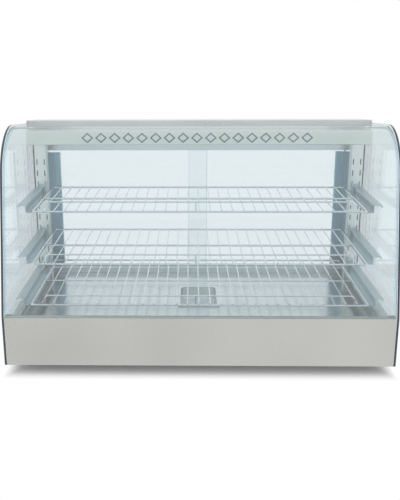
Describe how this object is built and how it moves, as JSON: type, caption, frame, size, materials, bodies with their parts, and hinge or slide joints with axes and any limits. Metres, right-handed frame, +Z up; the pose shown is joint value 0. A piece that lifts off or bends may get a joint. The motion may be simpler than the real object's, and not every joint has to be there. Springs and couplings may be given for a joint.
{
  "type": "heated display case",
  "caption": "Countertop warming display case with a bent front glass, wire shelves on brackets, a water pan and sliding rear doors.",
  "frame": {"origin": "on the counter under the middle of the case's bounding box", "axes": "+X to the right seen from the customer's side, +Y to the back where the sliding doors are, +Z up; the front faces -Y"},
  "size_m": [0.9, 0.52, 0.5561],
  "materials": {
    "brushed_steel": "satin, fine horizontal grain",
    "polished_steel": "mirror polished",
    "shelf_wire": "bright plated wire",
    "bracket_steel": "satin, folded sheet",
    "clear_glass": "clear, faint green edge",
    "aluminium_profile": "anodised, extruded ribs",
    "rubber_black": "matt",
    "black_plastic": "fine moulded texture",
    "red_plastic": "smooth",
    "amber_plastic": "translucent",
    "white_plastic": "smooth",
    "opal_plastic": "opal, light spreading",
    "lamp_glass": "frosted",
    "heater_sheath": "dull, heat tinted",
    "copper": "dull",
    "screw_steel": "plated"
  },
  "bodies": {
    "case": {"bottom_plate": "brushed_steel", "cable_gland": "black_plastic", "deck_plate": "polished_steel", "door_sill": "aluminium_profile", "door_top_track": "aluminium_profile", "foot_screws": "screw_steel", "front_glass": "clear_glass", "front_glass_channel": "brushed_steel", "front_left_foot": "rubber_black", "front_panel": "brushed_steel", "front_right_foot": "rubber_black", "indicator_lamp": "amber_plastic", "lamp_diffuser": "opal_plastic", "lamp_housing": "brushed_steel", "lamp_sockets": "white_plastic", "lamp_switch_body": "black_plastic", "lamp_tube": "lamp_glass", "left_heating_element": "heater_sheath", "left_rear_post": "brushed_steel", "left_side_glass": "clear_glass", "left_side_panel": "brushed_steel", "left_upright": "brushed_steel", "lower_left_bracket": "bracket_steel", "lower_right_bracket": "bracket_steel", "middle_left_bracket": "bracket_steel", "middle_right_bracket": "bracket_steel", "panel_screws": "screw_steel", "power_switch_body": "black_plastic", "rear_control_panel": "brushed_steel", "rear_header": "brushed_steel", "rear_left_foot": "rubber_black", "rear_right_foot": "rubber_black", "right_heating_element": "heater_sheath", "right_rear_post": "brushed_steel", "right_side_glass": "clear_glass", "right_side_panel": "brushed_steel", "right_upright": "brushed_steel", "roof_panel": "brushed_steel", "terminal_block": "white_plastic", "thermostat_body": "black_plastic", "thermostat_bulb": "copper", "upper_left_bracket": "bracket_steel", "upper_right_bracket": "bracket_steel"},
    "left_door": {"left_door_glass": "clear_glass", "left_door_handle": "aluminium_profile", "left_door_glides": "white_plastic"},
    "right_door": {"right_door_glass": "clear_glass", "right_door_handle": "aluminium_profile", "right_door_glides": "white_plastic"},
    "upper_shelf": {"upper_shelf": "shelf_wire", "upper_shelf_guard": "shelf_wire"},
    "middle_shelf": {"middle_shelf": "shelf_wire", "middle_shelf_guard": "shelf_wire"},
    "lower_shelf": {"lower_shelf": "shelf_wire", "lower_shelf_guard": "shelf_wire"},
    "water_pan": {"water_pan": "polished_steel"},
    "thermostat_knob": {"thermostat_knob": "black_plastic"},
    "power_rocker": {"power_switch_rocker": "red_plastic"},
    "lamp_rocker": {"lamp_switch_rocker": "black_plastic"}
  },
  "joints": [
    {"name": "left_door_slide", "type": "slide", "parent": "case", "child": "left_door", "axis": [1, 0, 0], "range_m": [0, 0.38]},
    {"name": "right_door_slide", "type": "slide", "parent": "case", "child": "right_door", "axis": [1, 0, 0], "range_m": [-0.38, 0]},
    {"name": "upper_shelf_lift", "type": "slide", "parent": "case", "child": "upper_shelf", "axis": [0, 0, 1], "range_m": [0, 0.04]},
    {"name": "middle_shelf_lift", "type": "slide", "parent": "case", "child": "middle_shelf", "axis": [0, 0, 1], "range_m": [0, 0.04]},
    {"name": "lower_shelf_lift", "type": "slide", "parent": "case", "child": "lower_shelf", "axis": [0, 0, 1], "range_m": [0, 0.04]},
    {"name": "water_pan_lift", "type": "slide", "parent": "case", "child": "water_pan", "axis": [0, 0, 1], "range_m": [0, 0.03]},
    {"name": "thermostat_knob_turn", "type": "hinge", "parent": "case", "child": "thermostat_knob", "pos_m": [0.25, 0.24, 0.07], "axis": [0, -1, 0], "range_deg": [0, 270]},
    {"name": "power_switch_rock", "type": "hinge", "parent": "case", "child": "power_rocker", "pos_m": [0.34, 0.233, 0.07], "axis": [-1, 0, 0], "range_deg": [0, 24]},
    {"name": "lamp_switch_rock", "type": "hinge", "parent": "case", "child": "lamp_rocker", "pos_m": [0.385, 0.233, 0.07], "axis": [-1, 0, 0], "range_deg": [0, 24]}
  ]
}
